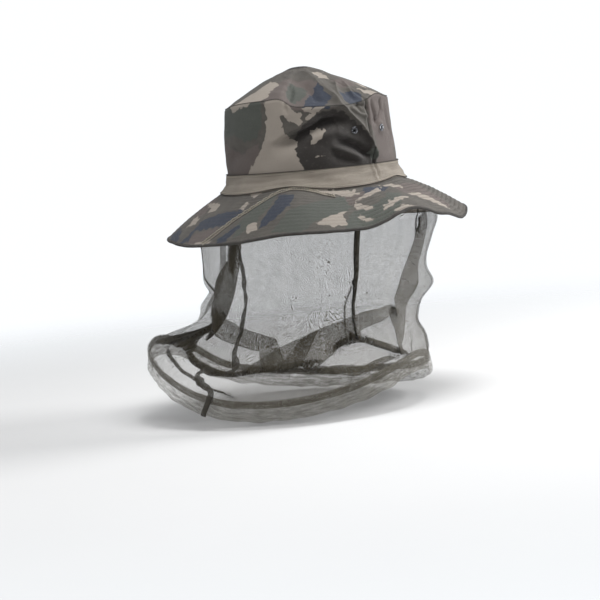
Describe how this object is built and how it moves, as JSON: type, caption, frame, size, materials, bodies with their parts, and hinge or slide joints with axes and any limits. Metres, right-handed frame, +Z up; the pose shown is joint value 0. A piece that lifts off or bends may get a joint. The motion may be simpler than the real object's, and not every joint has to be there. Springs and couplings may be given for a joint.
{
  "type": "bush hat with insect net veil",
  "caption": "Soft camouflage bush hat with a stitched brim, a contrast band and side eyelets, and a net veil under the brim that ends in an elastic hem.",
  "frame": {"origin": "centre of the head opening, in the plane of the seam where the crown meets the brim", "axes": "+Z up out of the top of the head; the wearer faces -Y; the wearer's left is +X"},
  "size_m": [0.3266, 0.3781, 0.3564],
  "materials": {
    "camo_crown": "woven cotton twill printed with a blotched woodland pattern in dark olive, tan, brown and navy, matt",
    "camo_brim": "the same printed twill, quilted with close rows of stitching, matt",
    "band_cloth": "plain tan twill, matt, stitched along both edges",
    "sweatband_cloth": "dark cotton tape, matt",
    "interlining": "stiff non-woven felt",
    "edge_tape": "folded woven binding tape, dark brown, matt",
    "seam_tape": "dark olive woven tape",
    "net": "fine soft knitted insect net, dark olive, see-through",
    "hem_net": "the same net folded double and gathered",
    "elastic": "flat braided elastic, black",
    "eyelet_metal": "black enamelled brass, satin"
  },
  "bodies": {
    "hat": {"crown_front_panel": "camo_crown", "crown_back_panel": "camo_crown", "crown_tip": "camo_crown", "sweatband": "sweatband_cloth", "hat_band": "band_cloth", "brim_top_ply": "camo_brim", "brim_interlining": "interlining", "brim_bottom_ply": "camo_brim", "brim_edge_binding": "edge_tape", "veil_top_tape": "seam_tape", "veil_net": "net", "veil_back_seam": "seam_tape", "eyelet_right_back": "eyelet_metal", "eyelet_washer_right_back": "eyelet_metal", "eyelet_right_front": "eyelet_metal", "eyelet_washer_right_front": "eyelet_metal", "eyelet_left_back": "eyelet_metal", "eyelet_washer_left_back": "eyelet_metal", "eyelet_left_front": "eyelet_metal", "eyelet_washer_left_front": "eyelet_metal"},
    "veil_hem": {"hem_casing": "hem_net", "hem_elastic": "elastic", "hem_seam_tab": "seam_tape"}
  },
  "joints": [
    {"name": "veil_lift", "type": "slide", "parent": "hat", "child": "veil_hem", "axis": [0, 0, 1], "range_m": [0, 0.09], "deforming": ["veil_net", "veil_back_seam"]}
  ]
}
